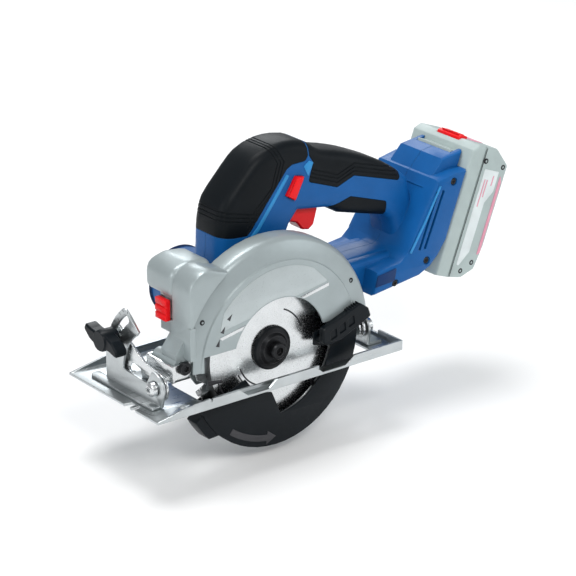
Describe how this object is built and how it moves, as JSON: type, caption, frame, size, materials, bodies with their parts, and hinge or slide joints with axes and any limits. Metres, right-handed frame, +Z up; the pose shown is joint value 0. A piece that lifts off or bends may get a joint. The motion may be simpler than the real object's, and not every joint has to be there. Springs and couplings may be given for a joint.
{
  "type": "cordless circular saw",
  "caption": "Cordless circular saw with steel sole plate, guards, toothed blade, bevel and depth setting, D-handle with red trigger, and a removable battery at the rear.",
  "frame": {"origin": "underside of the sole plate at mid-width, below the blade's arbor", "axes": "+X along the cut towards the battery, +Y away from the blade, +Z up"},
  "size_m": [0.3521, 0.1305, 0.223],
  "materials": {
    "steel": "zinc plated sheet steel",
    "bright_steel": "bright ground steel",
    "black_steel": "black oxide steel",
    "cast": "satin painted casting",
    "blue": "fine texture",
    "black_rubber": "soft overmould",
    "black_plastic": "satin",
    "red": "semi gloss",
    "copper": "enamelled copper",
    "board": "solder mask",
    "pale_plastic": "pale satin",
    "label": "printed film"
  },
  "bodies": {
    "base": {"sole_plate": "steel", "front_bracket": "steel", "rear_bracket": "steel", "front_pivot_bolt": "bright_steel", "rear_pivot_bolt": "bright_steel"},
    "bevel_frame": {"tilt_bracket": "bright_steel", "depth_arc": "bright_steel", "depth_pivot_pin": "black_steel"},
    "bevel_clamp": {"bevel_bolt": "bright_steel"},
    "wing": {"wing_knob": "black_plastic"},
    "tool": {"upper_guard": "cast", "gear_housing": "cast", "gearbox_cover": "cast", "motor_housing": "blue", "rating_label": "label", "housing_left": "blue", "housing_right": "blue", "front_pommel": "black_rubber", "top_grip": "black_rubber", "lower_grip_pad": "black_rubber", "trigger_switch": "black_plastic", "control_board": "board", "terminal_block": "black_plastic", "stator": "copper", "spindle_bearing_front": "bright_steel", "spindle_bearing_rear": "bright_steel", "motor_bearing_front": "bright_steel", "motor_bearing_rear": "bright_steel", "depth_clamp_bolt": "bright_steel", "guard_spring": "bright_steel"},
    "depth_clamp": {"depth_lever": "black_plastic"},
    "blade": {"spindle": "bright_steel", "drive_gear": "steel", "inner_flange": "black_steel", "saw_blade": "bright_steel", "outer_flange": "black_steel", "blade_bolt": "black_steel"},
    "rotor": {"motor_shaft": "bright_steel", "rotor_core": "steel", "cooling_fan": "black_plastic"},
    "guard": {"lower_guard": "black_plastic", "guard_lever": "black_plastic"},
    "trigger_body": {"trigger": "red"},
    "lock_off_body": {"lock_off": "red"},
    "spindle_lock_body": {"spindle_lock": "red"},
    "battery": {"battery_cap": "pale_plastic", "battery_case": "pale_plastic", "battery_cells": "black_plastic"},
    "battery_button": {"release_button": "red"}
  },
  "joints": [
    {"name": "bevel", "type": "hinge", "parent": "base", "child": "bevel_frame", "pos_m": [0, -0.0317, 0.016], "axis": [1, 0, 0], "range_deg": [0, 45]},
    {"name": "bevel_clamp_swing", "type": "hinge", "parent": "base", "child": "bevel_clamp", "pos_m": [0, -0.0317, 0.016], "axis": [1, 0, 0], "range_deg": [0, 24.5]},
    {"name": "wing_turn", "type": "hinge", "parent": "bevel_clamp", "child": "wing", "pos_m": [-0.11, 0.01668, 0.04065], "axis": [1, 0, 0], "range_deg": [-180, 180]},
    {"name": "depth", "type": "hinge", "parent": "bevel_frame", "child": "tool", "pos_m": [-0.0845, -0.03, 0.031], "axis": [0, -1, 0], "range_deg": [0, 31]},
    {"name": "depth_clamp_turn", "type": "hinge", "parent": "tool", "child": "depth_clamp", "pos_m": [0.03659, -0.0175, 0.01613], "axis": [0, -1, 0], "range_deg": [0, 20]},
    {"name": "blade_spin", "type": "hinge", "parent": "tool", "child": "blade", "pos_m": [0, -0.0345, 0.023], "axis": [0, 1, 0], "continuous": true},
    {"name": "rotor_spin", "type": "hinge", "parent": "tool", "child": "rotor", "pos_m": [-0.008, 0.02, 0.0461], "axis": [0, 1, 0], "continuous": true},
    {"name": "guard_swing", "type": "hinge", "parent": "tool", "child": "guard", "pos_m": [0, -0.0345, 0.023], "axis": [0, -1, 0], "range_deg": [0, 120], "stiffness_Nm_per_rad": 0.06, "springref_deg": -85.94},
    {"name": "trigger_press", "type": "slide", "parent": "tool", "child": "trigger_body", "axis": [0.4154, 0, 0.9096], "range_m": [0, 0.005], "stiffness_N_per_m": 700, "springref_m": -0.003},
    {"name": "lock_off_push", "type": "slide", "parent": "tool", "child": "lock_off_body", "axis": [0, 1, 0], "range_m": [-0.003, 0.003], "stiffness_N_per_m": 500},
    {"name": "spindle_lock_press", "type": "slide", "parent": "tool", "child": "spindle_lock_body", "axis": [1, 0, 0], "range_m": [0, 0.003], "stiffness_N_per_m": 600, "springref_m": -0.003},
    {"name": "battery_slide", "type": "slide", "parent": "tool", "child": "battery", "axis": [0.3529, 0, 0.9357], "range_m": [0, 0.08]},
    {"name": "release_press", "type": "slide", "parent": "battery", "child": "battery_button", "axis": [-0.3529, 0, -0.9357], "range_m": [0, 0.003], "stiffness_N_per_m": 600, "springref_m": -0.003}
  ],
  "couplings": [
    {"joint": "rotor_spin", "follows": "blade_spin", "ratio": -3.875},
    {"joint": "bevel_clamp_swing", "follows": "bevel", "ratio": 0.5333}
  ]
}
